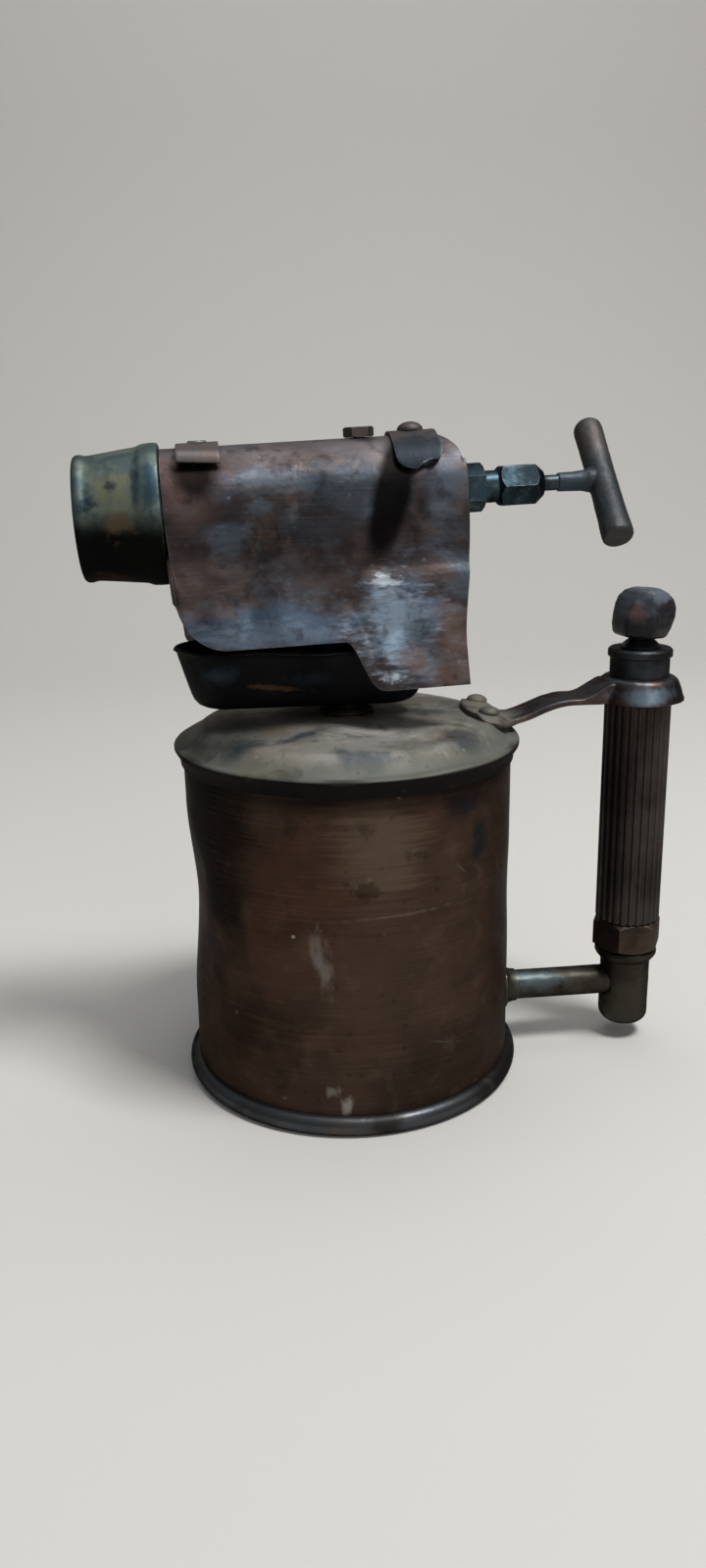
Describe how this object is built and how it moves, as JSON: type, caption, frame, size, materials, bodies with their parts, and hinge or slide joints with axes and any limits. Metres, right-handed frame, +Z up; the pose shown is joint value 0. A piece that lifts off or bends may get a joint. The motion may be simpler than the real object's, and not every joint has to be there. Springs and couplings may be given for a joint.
{
  "type": "blowtorch",
  "caption": "Brass fuel-burning blowtorch: domed round tank, side pump that is the grip, preheating tray, shielded burner with nozzle, and a screw valve with T-handle.",
  "frame": {"origin": "on the tank's axis at the level of the table it stands on", "axes": "+X towards the pump and the valve's T-handle, -X the way the flame points, +Z up; the picture was taken from -Y"},
  "size_m": [0.1893, 0.1104, 0.2077],
  "materials": {
    "tank_wall": "dark brown patina, lightly brushed",
    "tank_top": "olive-brown patina",
    "tank_base": "dark patina",
    "burner_bronze": "heat-stained",
    "nozzle_brass": "heat-stained, sooty below",
    "shield_steel": "heat-tinted and rusted",
    "strap_steel": "dull",
    "tray_steel": "sooty",
    "valve_brass": "dark teal-grey patina",
    "spindle_steel": "dull",
    "handle_iron": "worn",
    "bracket_brass": "dark coppery patina",
    "cap_brass": "dark patina",
    "guide_black": "matt",
    "knob_wood": "dark, chipped varnish",
    "grip_dark": "black-brown patina",
    "nut_brass": "dark bronze patina",
    "elbow_brass": "olive-grey patina",
    "inner_brass": "plain",
    "rod_steel": "plain",
    "seal_leather": "oiled",
    "packing_fibre": "greased"
  },
  "bodies": {
    "lamp": {"tank_base": "tank_base", "tank_shell": "tank_wall", "tank_top": "tank_top", "burner_socket": "elbow_brass", "dip_tube": "inner_brass", "filler_neck": "tank_top", "preheat_tray": "tray_steel", "riser_nut": "burner_bronze", "burner_casting": "burner_bronze", "nozzle": "nozzle_brass", "jet_nipple": "inner_brass", "windshield": "shield_steel", "front_strap": "strap_steel", "rear_strap": "strap_steel", "strap_rivet": "strap_steel", "strap_screw": "strap_steel", "shield_screw": "strap_steel", "valve_bonnet": "valve_brass", "gland_packing": "packing_fibre", "gland_nut": "valve_brass", "feed_pipe": "elbow_brass", "pipe_collar": "elbow_brass", "pump_elbow": "elbow_brass", "check_valve_seat": "inner_brass", "check_valve_spring": "rod_steel", "pump_base_nut": "nut_brass", "base_washer": "seal_leather", "pump_barrel": "inner_brass", "grip_sleeve": "grip_dark", "pump_bracket": "bracket_brass", "bracket_rivets": "bracket_brass", "pump_cap": "cap_brass", "rod_guide": "guide_black"},
    "spindle": {"valve_spindle": "spindle_steel"},
    "handle": {"t_handle": "handle_iron"},
    "plunger": {"pump_rod": "rod_steel", "pump_knob": "knob_wood", "piston_plate": "inner_brass", "cup_leather": "seal_leather", "piston_nut": "inner_brass"},
    "check_valve": {"check_valve_disc": "inner_brass", "check_valve_pad": "seal_leather"},
    "filler_seal": {"filler_washer": "seal_leather"},
    "filler_screw": {"filler_plug": "nut_brass"}
  },
  "joints": [
    {"name": "spindle_feed", "type": "slide", "parent": "lamp", "child": "spindle", "axis": [0.9992, 0, 0.0401], "range_m": [-0.003, 0]},
    {"name": "valve_turn", "type": "hinge", "parent": "spindle", "child": "handle", "pos_m": [-0.00008, 0, 0.18592], "axis": [0.9992, 0, 0.0401], "range_deg": [-720, 0]},
    {"name": "pump_stroke", "type": "slide", "parent": "lamp", "child": "plunger", "axis": [0, 0, 1], "range_m": [0, 0.06]},
    {"name": "check_valve_lift", "type": "slide", "parent": "lamp", "child": "check_valve", "axis": [0, 0, 1], "range_m": [-0.0015, 0], "stiffness_N_per_m": 100, "springref_m": 0.002, "deforming": ["check_valve_spring"]},
    {"name": "filler_lift", "type": "slide", "parent": "lamp", "child": "filler_seal", "axis": [0, 0, 1], "range_m": [0, 0.006]},
    {"name": "filler_turn", "type": "hinge", "parent": "filler_seal", "child": "filler_screw", "pos_m": [-0.01231, 0.03383, 0.13], "axis": [0, 0, 1], "range_deg": [0, 1440]}
  ],
  "couplings": [
    {"joint": "valve_turn", "follows": "spindle_feed", "rad_per_m": 4188.8},
    {"joint": "filler_turn", "follows": "filler_lift", "rad_per_m": 4188.8}
  ]
}
